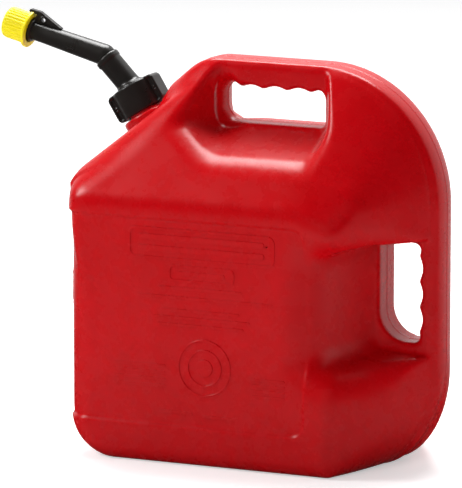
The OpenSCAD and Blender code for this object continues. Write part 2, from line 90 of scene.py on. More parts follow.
BELT = (36.0, 221.0, 66.0, 12.0)   # low edge, high edge, rear edge, corner rounding
BELT_DEPTH = 2.2
BELT_LEDGE = 3.2           # width over which the wall steps in
RECESS_FLARE = 0.75        # below 1 the recesses open faster near the rim
RECESS_REACH = 104.0       # where the recesses' wide outlines lie
# Outlines of the recesses beside the grips, as X and Z: narrow at the rim and wide past the side wall
UPPER_NARROW = ((-52, 297), (-52, 374), (52, 374), (52, 298), (51, 296), (-51, 296))
UPPER_WIDE = ((-101, 300), (-103, 374), (85, 374), (83, 300), (59, 263), (-37, 262))
REAR_NARROW = ((102, 109), (102, 204), (103, 206), (185, 207), (185, 99), (103, 107))
REAR_WIDE = ((66, 102), (66, 186), (76, 196), (185, 200), (185, 88), (78, 92))
UPPER_SOFT = 7.5           # extra softness of the recesses' edges at the side wall
REAR_SOFT = 26.0
UPPER_HOLE = ((-52.0, 50.0), (298.0, 330.7))       # X and Z limits of the openings
REAR_HOLE = ((103.0, 142.5), (112.5, 201.7))
UPPER_CORNERS = (15, 7, 9, 9)      # radii: low front, low rear, high front, high rear
REAR_CORNERS = (27, 9, 6, 9)
OPENING_SOFT = 5.0         # softness of the openings' edges
UPPER_FLARE = 16.0         # extra softness at the front of the upper opening
GROOVE_PITCH = 23.0
GROOVE_DEPTH = 3.4
UPPER_GROOVE = 1.0         # middle of the upper grip's four grooves
REAR_GROOVE = 156.7        # middle of the rear grip's
PARTING_RISE = 0.45        # ridge that the mould's parting line leaves
PARTING_WIDTH = 0.7

NECK_FOOT = (-127.14, 288.72)
NECK_RADIUS = 15.4
NECK_BORE = 12.2
NECK_TOP = 31.5
BOSS_RADIUS = 23.5         # raised boss that carries the neck
BOSS_TOP = 9.9
THREAD_PITCH = 6.0
THREAD_FIRST = 14.5
COLLAR_LOW = 12.3
COLLAR_TOP = 38.4
COLLAR_SPAN = 51.4         # over the two wings
COLLAR_BODY = 20.0
COLLAR_BORE = 17.4
PLATE_BORE = 13.6          # hole in the end plate
WING_HALF = 8.0            # half the wings' thickness
WING_ROUND = 4.5
WING_BORDER = 2.4          # raised border around each wing's recessed face
WING_POCKET = 1.3
PLATE_LOW = 35.9           # underside of the collar's end plate
BEND_HEIGHT = 30.2         # where the lower tube leaves the neck's axis

LOWER_RADIUS = 10.8
LOWER_BORE = 8.0
ROOT_RADIUS = 13.3         # flared root of the lower tube, inside the end plate
SEAM_HEIGHT = 43.0         # from the bend in the collar to the seam
SOCKET_RADIUS = 9.2        # where the upper tube's spigot turns
SOCKET_LOW = 31.0
FLANGE_LOW = 33.3          # flange that the collar clamps
FLANGE_RADIUS = 16.4
ELBOW_OFFSET = 2.5         # the elbow's centre lies this far past the seam
BARREL_RADIUS = 9.9
BARREL_BORE = 6.3
TIP_RADIUS = 8.6
TIP_BORE = 7.1             # from the plug to the end
TIP_BORE_LOW = 92.2
TAPER_END = 60.0           # the upper tube is straight from here on
BARREL_END = 96.0
PIN_HEIGHT = 84.0
PIN_TRAVEL = 8.0
PIN_RADIUS = 1.25
SLEEVE = (10.8, 72.0, 88.0)        # radius, low end, high end
SLEEVE_GAP = 0.08
FIN_HALF = 2.5
FIN_HOLE = (12.2, 65.2, 1.9)       # height above the axis, place along it, radius
HOOK = (16.8, 79.0, 1.8)           # the same for the round end of the hook
CAP_LOW = 74.8
CAP_HIGH = 99.8
CAP_RADIUS = 13.9
CAP_WALL = 2.0
CAP_RIBS = 28
CAP_RIB_DEPTH = 0.42
CAP_FLANGE = (17.0, 3.0)           # radius, thickness
CAP_GRIP = (8.7, 10.1, 89.0)       # inner skirt: inner and outer radius, low end

MARK_RISE = 0.75           # height of the plain raised marks on the side panels
MARK_EDGE = 0.35           # width of their bevel
MARK_ROOT = 0.6            # how far they reach into the wall
LINE_BARS = ((-74, 6, 159), (-95, 36, 150.5), (-72, 4, 139), (-80, 14, 132.5), (-76, 8, 126))
RING_CENTRE = (-30, 90)

FLOOR_SIZE = 16.0          # metres
FLOOR_GLOW = 0.45          # lifts the floor to white around the soft contact shadow


# ---------------------------------------------------------------- distance functions
def ease(u):
    """0 to 1 with soft ends."""
    c = np.clip(u, 0, 1)
    return c * c * (3 - 2 * c)


def soft_max(a, b, k):
    """The larger of two distances, with a soft change of width k: the overlap of two shapes."""
    h = np.maximum(k - np.abs(a - b), 0) / k
    return np.maximum(a, b) + h * h * k / 4


def soft_min(a, b, k):
    return -soft_max(-a, -b, k)


def rounded(a, b, turn, radius):
    """Overlap of two shapes with a true rounding. turn is the cosine between their faces' normals."""
    p, q = a + radius, b + radius
    reach = np.sqrt(np.maximum((p * p + q * q - 2 * p * q * turn) / np.maximum(1 - turn * turn, 1e-6), 0))
    beyond = (p > q * turn) & (q > p * turn)
    return np.where(beyond, reach, np.maximum(p, q)) - radius


def slope_of(shape, x, y, z, h):
    """Value and gradient of a shape by small steps."""
    here = shape(x, y, z)
    return here, (shape(x + h, y, z) - here) / h, (shape(x, y + h, z) - here) / h, \
        (shape(x, y, z + h) - here) / h


def true_distance(shape, x, y, z, h=0.4):
    """A shape's value turned into a distance, with the unit normal."""
    here, gx, gy, gz = slope_of(shape, x, y, z, h)
    size = np.sqrt(gx * gx + gy * gy + gz * gz) + 1e-9
    return here / size, gx / size, gy / size, gz / size


def ellipse_corner(u, v):
    """Rounded corner in scaled coordinates, where both faces lie at 1."""
    return np.where(np.minimum(u, v) > 0, np.hypot(np.maximum(u, 0), np.maximum(v, 0)),
                    np.maximum(u, v)) - 1


def fall(dist, slope):
    """How far a face has drawn in at a distance from the mould plane, side rounding left out."""
    run = dist - RIM_HALF
    crown = FACE_CROWN * np.sin(np.pi * np.clip(run / SHOULDER_RUN, 0, 1))
    soft_run = (run + np.sqrt(run * run + 4)) / 2 - 0.3
    return np.maximum(slope * soft_run, 0) - crown \
        + RIM_STEP * ease((run + RIM_BLEND - 1) / RIM_BLEND)


def face_z(x):
    return FACE_HEIGHT + math.tan(FACE_ANGLE) * (x - FRONT_X)


def back_face(d):
    return REAR_X - fall(d, REAR_SLOPE) - REAR_ROUND * np.minimum(d / RIM_HALF, 1) ** 2.5


def top_and_back(x, d, z):
    """Top and back with the large corner between them. Scaled, so its value isn't a distance."""
    top = HEIGHT - fall(d, TOP_SLOPE)
    back = back_face(d)
    centre_x = REAR_X - ARC_RADIUS
    centre_z = np.minimum(HEIGHT - ARC_RADIUS, top - ARC_LEAST)
    return ellipse_corner((x - centre_x) / (back - centre_x), (z - centre_z) / (top - centre_z))


def heel_size(d):
    """Length and height of the low rear corner at a distance from the mould plane."""
    share = d / HALF_WIDTH
    return (HEEL_LENGTH[0] + (HEEL_LENGTH[1] - HEEL_LENGTH[0]) * share,
            HEEL_HEIGHT[0] + (HEEL_HEIGHT[1] - HEEL_HEIGHT[0]) * share)


def heel(x, d, z):
    length, height = heel_size(d)
    return ellipse_corner((x - back_face(d) + length) / length, (height - z) / height)


def sloped_face(x, d, z):
    """Face that carries the neck. It swells near the mould plane, behind the neck."""
    fade = 1 - ease((d - RIM_HALF + 4) / ROOT_FADE)
    root = ROOT_HEIGHT * ease((x - ROOT_START) / ROOT_RUN) * fade
    return (z - face_z(x) - root) * math.cos(FACE_ANGLE)


def side_view(x, d, z):
    """The tank without the rounding towards its side walls."""
    upper = true_distance(top_and_back, x, d, z)[0]
    face = true_distance(sloped_face, x, d, z)[0]
    front = FRONT_X - x
    brow = rounded(front, face, math.sin(FACE_ANGLE), BROW_RADIUS)
    foot = rounded(front, -z, 0.0, FOOT_RADIUS)
    blend = CREST_BLEND + (EDGE_BLEND - CREST_BLEND) * ease((d - 30) / 50)
    form = np.maximum(soft_max(brow, upper, blend), foot)
    length, height = heel_size(d)
    corner = (x > back_face(d) - length) & (z < height)
    rear_low = np.where(corner, true_distance(heel, x, d, z)[0], -z)
    return np.maximum(form, rear_low)


def outer_form(x, d, z):
    """The tank's outside without its recesses. The rounding depends on which way the surface faces."""
    part, gx, gy, gz = slope_of(side_view, x, d, z, 0.4)
    size = np.sqrt(gx * gx + gy * gy + gz * gz) + 1e-9
    radius = SIDE_RADIUS + (BASE_RADIUS - SIDE_RADIUS) * ease(-1.2 * gz / size) \
        + (FRONT_RADIUS - SIDE_RADIUS) * ease(-1.2 * gx / size)
    return rounded(part, d - HALF_WIDTH, np.clip(gy / size, 0.0, 0.98), radius)


def belt(x, z):
    """Distance to the outline of the recessed belt, seen from the side."""
    low, high, rear, radius = BELT
    u = x - rear + radius
    v = np.abs(z - (low + high) / 2) - (high - low) / 2 + radius
    return np.hypot(np.maximum(u, 0), np.maximum(v, 0)) + np.minimum(np.maximum(u, v), 0) - radius


def loft(x, d, z, narrow, wide, k):
    """Region between two convex outlines, one at the rim and one past the side wall."""
    share = np.maximum((d - RIM_HALF) / (RECESS_REACH - RIM_HALF), 1e-4) ** RECESS_FLARE
    corners = [(n[0] + (w[0] - n[0]) * share, n[1] + (w[1] - n[1]) * share)
               for n, w in zip(narrow, wide)]
    region = None
    for (ax, az), (bx, bz) in zip(corners, corners[1:] + corners[:1]):
        ex, ez = bx - ax, bz - az
        size = np.hypot(ex, ez)
        edge = ((x - ax) * -ez + (z - az) * ex) / size
        region = edge if region is None else soft_max(region, edge, k)
    return region


def scallops(u, middle):
    """Finger grooves: shallow arcs with a narrow ridge between two of them."""
    turn = math.pi * (u - middle) / GROOVE_PITCH + math.pi / 2
    return GROOVE_DEPTH * (np.sqrt(np.sin(turn) ** 2 + 0.03) - 0.6)


def hole(u, v, radii):
    """Opening with rounded corners. u and v each hold the coordinate and its limits."""
    (u_low, u_high), (v_low, v_high) = u[1], v[1]
    pu, pv = u[0] - (u_low + u_high) / 2, v[0] - (v_low + v_high) / 2
    radius = np.where(pv < 0, np.where(pu < 0, radii[0], radii[1]), np.where(pu < 0, radii[2], radii[3]))
    qu = np.abs(pu) - (u_high - u_low) / 2 + radius
    qv = np.abs(pv) - (v_high - v_low) / 2 + radius
    return np.hypot(np.maximum(qu, 0), np.maximum(qv, 0)) + np.minimum(np.maximum(qu, qv), 0) - radius


def upper_hole(x, z):
    lift = scallops(x, UPPER_GROOVE) * ease((z - UPPER_HOLE[1][0] - 10) / 20)
    return hole((x, UPPER_HOLE[0]), (z - lift, UPPER_HOLE[1]), UPPER_CORNERS)


def rear_hole(x, z):
    push = scallops(z, REAR_GROOVE) * ease((x - REAR_HOLE[0][0] - 10) / 20)
    return hole((x - push, REAR_HOLE[0]), (z, REAR_HOLE[1]), REAR_CORNERS)


def outline_distance(u, v, points):
    """Distance to a closed outline, negative inside."""
    best, inside = None, None
    for (au, av), (bu, bv) in zip(points, points[1:] + points[:1]):
        eu, ev = bu - au, bv - av
        share = np.clip(((u - au) * eu + (v - av) * ev) / (eu * eu + ev * ev), 0, 1)
        gap = np.hypot(u - au - share * eu, v - av - share * ev)
        crossed = ((av > v) != (bv > v)) & (u < eu * (v - av) / (ev if ev else 1e-9) + au)
        best = gap if best is None else np.minimum(best, gap)
        inside = crossed if inside is None else inside ^ crossed
    return np.where(inside, -best, best)


def boss(x, d, z):
    """Raised round boss on the sloped face and the bore through it, along the neck's axis."""
    px, pz = x - NECK_FOOT[0], z - NECK_FOOT[1]
    along = px * NECK.axis.x + pz * NECK.axis.z
    across = np.hypot(px * NECK.axis.z - pz * NECK.axis.x, d)
    solid = rounded(across - BOSS_RADIUS, np.maximum(along - BOSS_TOP, -20 - along), 0.0, 2.0)
    return solid, np.maximum(across - NECK_BORE, -25 - along)


def tank_shape(x, y, z):
    """Whole red shell in the row frame, with its bore open at the neck. Both halves are alike."""
    d = np.abs(y)
    form = outer_form(x, d, z)
    form = form + BELT_DEPTH * ease(0.5 - belt(x, z) / BELT_LEDGE)
    solid, bore = boss(x, d, z)
    form = np.maximum(soft_min(form, solid, 3.0), -bore)
    for narrow, wide, soft in ((UPPER_NARROW, UPPER_WIDE, UPPER_SOFT), (REAR_NARROW, REAR_WIDE, REAR_SOFT)):
        region = loft(x, d, z, narrow, wide, 7.0)
        region = soft_max(region, RIM_HALF - d, 3.0)
        form = soft_max(form, -region, 3.5 + soft * ease((d - 21) / 45))
    flare = OPENING_SOFT + UPPER_FLARE * ease((-20 - x) / 30)
    form = soft_max(form, -upper_hole(x, z), flare)
    form = soft_max(form, -rear_hole(x, z), OPENING_SOFT)
    return form - PARTING_RISE * np.exp(-(y / PARTING_WIDTH) ** 2)


# ---------------------------------------------------------------- local frames of the spout
class Tube:
    """A frame whose local Z runs along a tube and whose local Y is the row frame's Y."""

    def __init__(self, origin, axis):
        self.origin = Vector(origin)
        self.axis = Vector(axis).normalized()
        side = Vector((0, 1, 0)).cross(self.axis)
        self.matrix = Matrix.Translation(self.origin) @ Matrix((
            (side.x, 0, self.axis.x, 0), (side.y, 1, self.axis.y, 0),
            (side.z, 0, self.axis.z, 0), (0, 0, 0, 1)))


NECK = Tube(JOINTS["collar_turn"]["pos_m"], JOINTS["collar_turn"]["axis"])
SEAM = Tube(JOINTS["barrel_swivel"]["pos_m"], JOINTS["barrel_swivel"]["axis"])
LOWER = Tube(SEAM.origin - SEAM.axis * SEAM_HEIGHT * MM, SEAM.axis)
UPPER = Tube(SEAM.origin + SEAM.axis * ELBOW_OFFSET * MM, JOINTS["cap_pull"]["axis"])
LOWER_TURN = NECK.axis.angle(LOWER.axis)
UPPER_TURN = LOWER.axis.angle(UPPER.axis)


def lean(x, z, turn, rise):
    """Local X and Z in the frame below, which a tube leans away from by turn at the height rise."""
    c, s = math.cos(turn), math.sin(turn)
    return x * c - z * s, rise + x * s + z * c


def rod(x, y, z, radius, low, high, edge=0.6):
    """Round bar along local Z, with rounded ends."""
    return rounded(np.hypot(x, y) - radius, np.maximum(low - z, z - high), 0.0, edge)


def slab(x, y, z, low, high, edge=0.6):
    """Rounded box between two corners."""
    parts = [np.maximum(lo - c, c - hi) + edge for c, lo, hi in zip((x, y, z), low, high)]
    outside = np.sqrt(sum(np.maximum(p, 0) ** 2 for p in parts))
    return outside + np.minimum(np.maximum(np.maximum(parts[0], parts[1]), parts[2]), 0) - edge


def neck_shape(x, y, z):
    """Threaded neck, in the neck's frame."""
    around = np.hypot(x, y)
    phase = (z - THREAD_FIRST) / THREAD_PITCH - np.arctan2(y, x) / (2 * math.pi)
    ridge = ease(np.cos(2 * math.pi * phase) * 1.6) * ease((z - THREAD_FIRST + 1) / 2) \
        * ease((NECK_TOP - 2 - z) / 2)
    wall = rounded(around - NECK_RADIUS - ridge, z - NECK_TOP, 0.0, 0.5)
    return np.maximum(np.maximum(wall, -z), NECK_BORE - around)


def collar_shape(x, y, z):
    """Winged screw collar, in the neck's frame."""
    around = np.hypot(x, y)
    middle, half = (COLLAR_LOW + COLLAR_TOP) / 2, (COLLAR_TOP - COLLAR_LOW) / 2
    u = np.abs(x) - COLLAR_SPAN / 2 + WING_ROUND
    v = np.abs(z - middle) - half + WING_ROUND
    outline = np.hypot(np.maximum(u, 0), np.maximum(v, 0)) + np.minimum(np.maximum(u, v), 0) - WING_ROUND
    wings = rounded(outline, np.abs(y) - WING_HALF, 0.0, 0.9)
    pocket = np.maximum(np.maximum(outline + WING_BORDER, COLLAR_BODY - 1 - np.abs(x)),
                        WING_HALF - WING_POCKET - np.abs(y))
    wings = soft_max(wings, -pocket, 0.8)
    body = rod(x, y, z, COLLAR_BODY, COLLAR_LOW, COLLAR_TOP, 1.8)
    form = soft_min(body, wings, 1.6)
    ring = np.hypot(np.hypot(np.abs(x) - COLLAR_BODY - 2, z - middle) - 1.5,
                    np.abs(y) - WING_HALF + WING_POCKET) - 0.5
    form = np.minimum(form, ring)
    form = np.maximum(form, -rod(x, y, z, COLLAR_BORE, COLLAR_LOW - 5, PLATE_LOW, 0.3))
    return np.maximum(form, PLATE_BORE - around)


def spout_base_shape(x, y, z):
    """Lower tube with its flange and spigot, in the lower tube's frame."""
    nx, nz = lean(x, z, LOWER_TURN, BEND_HEIGHT)
    tube = rod(x, y, z, LOWER_RADIUS, 0, SEAM_HEIGHT, 0.7)
    band = rod(x, y, z, LOWER_RADIUS + 0.8, SEAM_HEIGHT - 5.5, SEAM_HEIGHT - 0.8, 0.8)
    flare = rod(nx, y, nz, ROOT_RADIUS, FLANGE_LOW, COLLAR_TOP + 1.6, 1.6)
    form = soft_min(soft_min(tube, band, 0.8), flare, 4.0)
    form = np.maximum(form, np.where(nz < COLLAR_TOP, np.hypot(nx, y) - ROOT_RADIUS - 0.1, -9.0))
    form = np.minimum(form, rod(nx, y, nz, FLANGE_RADIUS, FLANGE_LOW, FLANGE_LOW + 2.5, 0.4))
    form = np.maximum(form, FLANGE_LOW - nz)
    form = np.minimum(form, rod(nx, y, nz, NECK_BORE - 0.6, NECK_TOP - 10, FLANGE_LOW + 1, 0.5))
    form = np.maximum(form, -rod(nx, y, nz, LOWER_BORE, NECK_TOP - 12, BEND_HEIGHT + 1, 0.1))
    form = np.maximum(form, -rod(x, y, z, LOWER_BORE, -2, SEAM_HEIGHT + 2, 0.1))
    return np.maximum(form, -rod(x, y, z, SOCKET_RADIUS, SOCKET_LOW, SEAM_HEIGHT + 2, 0.1))


def tube_radius(z):
    """Outer radius of the upper tube along its axis."""
    return BARREL_RADIUS - (BARREL_RADIUS - TIP_RADIUS) * np.clip(z / TAPER_END, 0, 1)


def barrel_shape(x, y, z):
    """Upper tube with its elbow and spigot, in the upper tube's frame."""
    lx, lz = lean(x, z, UPPER_TURN, SEAM_HEIGHT + ELBOW_OFFSET)
    around = np.hypot(x, y)
    tube = rounded(around - tube_radius(z), np.maximum(-z, z - BARREL_END), 0.0, 0.8)
    elbow = np.sqrt(x * x + y * y + z * z) - BARREL_RADIUS
    stub = rod(lx, y, lz, BARREL_RADIUS, SEAM_HEIGHT - 1, SEAM_HEIGHT + ELBOW_OFFSET, 0.1)
    outer = np.minimum(np.minimum(tube, elbow), stub)
    outer = rounded(outer, SEAM_HEIGHT + 0.25 - lz, 0.0, 0.5)
    spigot = rod(lx, y, lz, SOCKET_RADIUS - 0.1, SOCKET_LOW + 0.3, SEAM_HEIGHT + 1.5, 0.3)
    form = np.minimum(outer, spigot)
    form = np.maximum(form, -rod(lx, y, lz, BARREL_BORE, 0, SEAM_HEIGHT + ELBOW_OFFSET, 0.1))
    form = np.maximum(form, -rod(x, y, z, BARREL_BORE, 0, BARREL_END + 5, 0.1))
    form = np.maximum(form, -rod(x, y, z, TIP_BORE, TIP_BORE_LOW, BARREL_END + 5, 0.1))
    slot = np.hypot(x, z - np.clip(z, PIN_HEIGHT - PIN_TRAVEL, PIN_HEIGHT)) - PIN_RADIUS - 0.2
    return np.maximum(form, -np.maximum(slot, 4 - np.abs(y)))


def fin_outline():
    """Hooked fin, as height above the tube's axis and place along it."""
    height, place, radius = HOOK
    turns = [math.pi * (1 - i / 8) for i in range(9)]
    return [(7.0, 46.0), (10.2, 46.0), (18.4, 68.4), (19.0, 70.0)] \
        + [(height + radius * math.cos(t), place + radius * math.sin(t)) for t in reversed(turns)] \
        + [(height - radius, 73.0), (SLEEVE[0] - 1, 74.6), (7.0, 74.6)]


def trigger_shape(x, y, z):
    """Sleeve with its hooked fin, in the upper tube's frame. Its bore clears the tube as it slides."""
    around = np.hypot(x, y)
    sleeve = rod(x, y, z, *SLEEVE, edge=1.0)
    outline = outline_distance(x, z, fin_outline())
    fin = rounded(outline + 0.5, np.abs(y) - FIN_HALF + 0.5, 0.0, 0.1) - 0.5
    from_hole = np.hypot(x - FIN_HOLE[0], z - FIN_HOLE[1])
    panel = np.maximum(outline + 2.0, FIN_HALF - 0.6 - np.abs(y))
    fin = soft_max(fin, -np.maximum(panel, FIN_HOLE[2] + 1.5 - from_hole), 0.5)
    form = soft_min(sleeve, fin, 1.0)
    form = np.maximum(form, FIN_HOLE[2] - from_hole)
    form = np.maximum(form, PIN_RADIUS - np.hypot(x, z - PIN_HEIGHT))
    return np.maximum(form, tube_radius(z - PIN_TRAVEL - 1) + SLEEVE_GAP - around)


def cap_shape(x, y, z):
    """Ribbed cap with a notched flange, in the upper tube's frame."""
    around = np.hypot(x, y)
    rib = CAP_RIB_DEPTH * np.cos(CAP_RIBS * np.arctan2(y, x)) * ease((CAP_HIGH - 1.5 - z) / 2)
    side = rounded(around - CAP_RADIUS - rib, z - CAP_HIGH, 0.0, 2.0)
    flange = rod(x, y, z, CAP_FLANGE[0], CAP_LOW, CAP_LOW + CAP_FLANGE[1], 0.9)
    form = soft_min(side, flange, 1.6)
    form = rounded(form, CAP_LOW - z, 0.0, 0.3)
    inner, outer, low = CAP_GRIP
    grip = np.maximum(np.maximum(inner - around, around - outer), low - z)
    hollow = np.maximum(around - CAP_RADIUS + CAP_WALL, z - CAP_HIGH + CAP_WALL)
    form = np.maximum(form, -np.maximum(hollow, -grip))
    notch = np.maximum(np.maximum(np.abs(y) - FIN_HALF - 0.6, CAP_RADIUS - x), z - CAP_HIGH)
    return np.maximum(form, -notch)


# ---------------------------------------------------------------- from distance function to mesh
def grid_lines(low, high, step, fine=()):
    """Grid lines from low to high, closer together within half of each place in fine."""
    lines = [low]
    while lines[-1] < high:
        here = lines[-1]
        near = [f for place, half, f in fine if abs(here + f / 2 - place) <= half]
        lines.append(here + min([step] + near) * COARSE)
    return np.array(lines)


def grid(*spans, step):
    """Even grid lines for the limits of x, y and z."""
    return [grid_lines(float(low), high, step) for low, high in spans]


def surface_net(value, axes):
    """Vertices and quads where value changes sign: one vertex for each grid cell that is crossed."""
    inside = value < 0
    cells = tuple(n - 1 for n in value.shape)
    total = np.zeros(cells + (3,))
    count = np.zeros(cells)
    edges = []
    for axis in range(3):
        lead = [slice(None)] * 3
        tail = [slice(None)] * 3
        lead[axis], tail[axis] = slice(None, -1), slice(1, None)
        first, second = value[tuple(lead)], value[tuple(tail)]
        cross = inside[tuple(lead)] != inside[tuple(tail)]
        at = np.argwhere(cross)
        va, vb = first[cross], second[cross]
        place = np.stack([axes[i][at[:, i]] for i in range(3)], 1)
        step = axes[axis][at[:, axis] + 1] - axes[axis][at[:, axis]]
        place[:, axis] += step * va / (va - vb)
        others = [i for i in range(3) if i != axis]
        for s in (0, 1):
            for t in (0, 1):
                cell = at.copy()
                cell[:, others[0]] -= s
                cell[:, others[1]] -= t
                fits = np.all((cell >= 0) & (cell < np.array(cells)), 1)
                spot = tuple(cell[fits].T)
                np.add.at(total, spot, place[fits])
                np.add.at(count, spot, 1)
        edges.append((axis, others, at, inside[tuple(lead)][cross]))
    number = -np.ones(cells, int)
    used = count > 0
    number[used] = np.arange(used.sum())
    points = total[used] / count[used][:, None]
    quads = []
    for axis, others, at, starts_inside in edges:
        keep = np.all((at[:, others] > 0) & (at[:, others] < np.array(cells)[others]), 1)
        at, flag = at[keep], starts_inside[keep]
        ring = []
        for s, t in ((0, 0), (1, 0), (1, 1), (0, 1)):
            cell = at.copy()
            cell[:, others[0]] -= s
            cell[:, others[1]] -= t
            ring.append(number[tuple(cell.T)])
        quad = np.stack(ring, 1)
        turned = flag if axis == 1 else ~flag
        quad[turned] = quad[turned][:, ::-1]
        quads.append(quad)
    return points, np.concatenate(quads)


def settle(shape, points, quads, rounds, reach):
    """Evens out the vertices along the surface and brings them onto it. Returns them and their normals."""
    pairs = np.concatenate([quads[:, [i, (i + 1) % 4]] for i in range(4)])
    for turn in range(rounds + 2):
        if turn < rounds:
            pull = np.zeros_like(points)
            share = np.zeros(len(points))
            np.add.at(pull, pairs[:, 0], points[pairs[:, 1]])
            np.add.at(share, pairs[:, 0], 1)
            points = points + 0.5 * (pull / np.maximum(share, 1)[:, None] - points)
        here, gx, gy, gz = slope_of(shape, *points.T, 0.02)
        size = gx * gx + gy * gy + gz * gz + 1e-9
        move = np.clip(here / size, -reach, reach)
        normals = np.stack([gx, gy, gz], 1)
        points = points - move[:, None] * normals
    return points, normals / np.sqrt(size)[:, None]


def piece(name, shape, lines, tube=None, mirror=False, rounds=2):
    """Mesh object of a distance function. lines are the grid's lines in x, y and z, in millimetres."""
    xs, ys, zs = lines
    half = ys[ys >= 0] if mirror else ys
    value = np.concatenate([shape(*np.meshgrid(part, half, zs, indexing="ij"))
                            for part in np.array_split(xs, 12)])
    if mirror:
        value = np.concatenate([value[:, :0:-1], value], 1)
        ys = np.concatenate([-half[:0:-1], half])
    points, quads = surface_net(value, (xs, ys, zs))
    points, normals = settle(shape, points, quads, rounds, 0.6)
    mesh = bpy.data.meshes.new(name)
    mesh.vertices.add(len(points))
    mesh.vertices.foreach_set("co", (points * MM).astype(np.float32).ravel())
    mesh.loops.add(quads.size)
    mesh.loops.foreach_set("vertex_index", quads.astype(np.int32).ravel())
    mesh.polygons.add(len(quads))
    mesh.polygons.foreach_set("loop_start", np.arange(0, quads.size, 4, dtype=np.int32))
    mesh.update(calc_edges=True)
    mesh.validate()
    if tube is not None:
        mesh.transform(tube.matrix)
    mesh.shade_smooth()
    obj = bpy.data.objects.new(name, mesh)
    bpy.context.scene.collection.objects.link(obj)
    return obj


# ---------------------------------------------------------------- materials
def nodes_of(name):
    material = bpy.data.materials.new(name)
    material.use_nodes = True
    tree = material.node_tree
    return material, tree, tree.nodes["Principled BSDF"]


def add(tree, kind, **values):
    node = tree.nodes.new(kind)
    for key, value in values.items():
        if key in node.inputs:
            node.inputs[key].default_value = value
        else:
            setattr(node, key, value)
    return node


def noise(tree, coords, scale, detail=3.0, rough=0.5):
    node = add(tree, "ShaderNodeTexNoise", Scale=scale, Detail=detail, Roughness=rough)
    tree.links.new(coords, node.inputs["Vector"])
    return node.outputs["Fac"]


def ranged(tree, value, low, high, to_low, to_high):
    node = add(tree, "ShaderNodeMapRange")
    for socket, number in zip(("From Min", "From Max", "To Min", "To Max"), (low, high, to_low, to_high)):
        node.inputs[socket].default_value = number
    tree.links.new(value, node.inputs["Value"])
    return node.outputs["Result"]


def mixed(tree, share, first, second):
    node = add(tree, "ShaderNodeMix", data_type="RGBA")
    for value, socket in ((share, node.inputs[0]), (first, node.inputs[6]), (second, node.inputs[7])):
        if isinstance(value, bpy.types.NodeSocket):
            tree.links.new(value, socket)
        elif isinstance(value, tuple):
            socket.default_value = value + (1.0,)
        else:
            socket.default_value = value
    return node.outputs[2]


def plastic(name, colour, shade, edge, rough, specular, grain, grain_depth, wave_depth=0.0, scuffs=0.0):
    """Moulded plastic: cloudy colour, paler worn edges, uneven gloss, fine mould grain and faint waves."""
    material, tree, shader = nodes_of(name)
    coords = add(tree, "ShaderNodeTexCoord").outputs["Object"]
    cloud = noise(tree, coords, 18.0)
    body = mixed(tree, ranged(tree, cloud, 0.3, 0.7, 0.0, 1.0), colour, shade)
    corner = add(tree, "ShaderNodeNewGeometry").outputs["Pointiness"]
    worn = ranged(tree, corner, 0.52, 0.62, 0.0, 0.35)
    patch = ranged(tree, noise(tree, coords, 90.0, 4.0), 0.35, 0.7, 0.2, 1.0)
    both = add(tree, "ShaderNodeMath", operation="MULTIPLY")
    tree.links.new(worn, both.inputs[0])
    tree.links.new(patch, both.inputs[1])
    tree.links.new(mixed(tree, both.outputs[0], body, edge), shader.inputs["Base Color"])
    gloss = noise(tree, coords, 55.0, 5.0, 0.6)
    tree.links.new(ranged(tree, gloss, 0.25, 0.75, rough - 0.05, rough + 0.06), shader.inputs["Roughness"])
    shader.inputs["Specular IOR Level"].default_value = specular
    fine = add(tree, "ShaderNodeBump", Strength=1.0, Distance=grain_depth)
    tree.links.new(noise(tree, coords, grain, 2.0), fine.inputs["Height"])
    last = fine
    if wave_depth:
        broad = add(tree, "ShaderNodeBump", Strength=1.0, Distance=wave_depth)
        tree.links.new(noise(tree, coords, 16.0, 1.0), broad.inputs["Height"])
        tree.links.new(last.outputs["Normal"], broad.inputs["Normal"])
        last = broad
    if scuffs:
        stretch = add(tree, "ShaderNodeMapping")
        stretch.inputs["Scale"].default_value = (60.0, 60.0, 900.0)
        stretch.inputs["Rotation"].default_value = (0.4, 0.7, 0.2)
        tree.links.new(coords, stretch.inputs["Vector"])
        lines = ranged(tree, noise(tree, stretch.outputs["Vector"], 1.0, 1.0), 0.72, 0.8, 0.0, 1.0)
        marks = add(tree, "ShaderNodeBump", Strength=scuffs, Distance=0.00005, invert=True)
        tree.links.new(lines, marks.inputs["Height"])
        tree.links.new(last.outputs["Normal"], marks.inputs["Normal"])
        last = marks
    tree.links.new(last.outputs["Normal"], shader.inputs["Normal"])
    return material


def metal(name, colour, rough):
    """Drawn wire and pins: bright metal with fine lengthwise streaks."""
    material, tree, shader = nodes_of(name)
    coords = add(tree, "ShaderNodeTexCoord").outputs["Object"]
    streak = noise(tree, coords, 700.0, 4.0, 0.7)
    tree.links.new(mixed(tree, streak, colour, tuple(c * 0.7 for c in colour)), shader.inputs["Base Color"])
    tree.links.new(ranged(tree, streak, 0.3, 0.7, rough - 0.06, rough + 0.1), shader.inputs["Roughness"])
    shader.inputs["Metallic"].default_value = 1.0
    bump = add(tree, "ShaderNodeBump", Strength=0.5, Distance=0.00003)
    tree.links.new(streak, bump.inputs["Height"])
    tree.links.new(bump.outputs["Normal"], shader.inputs["Normal"])
    return material


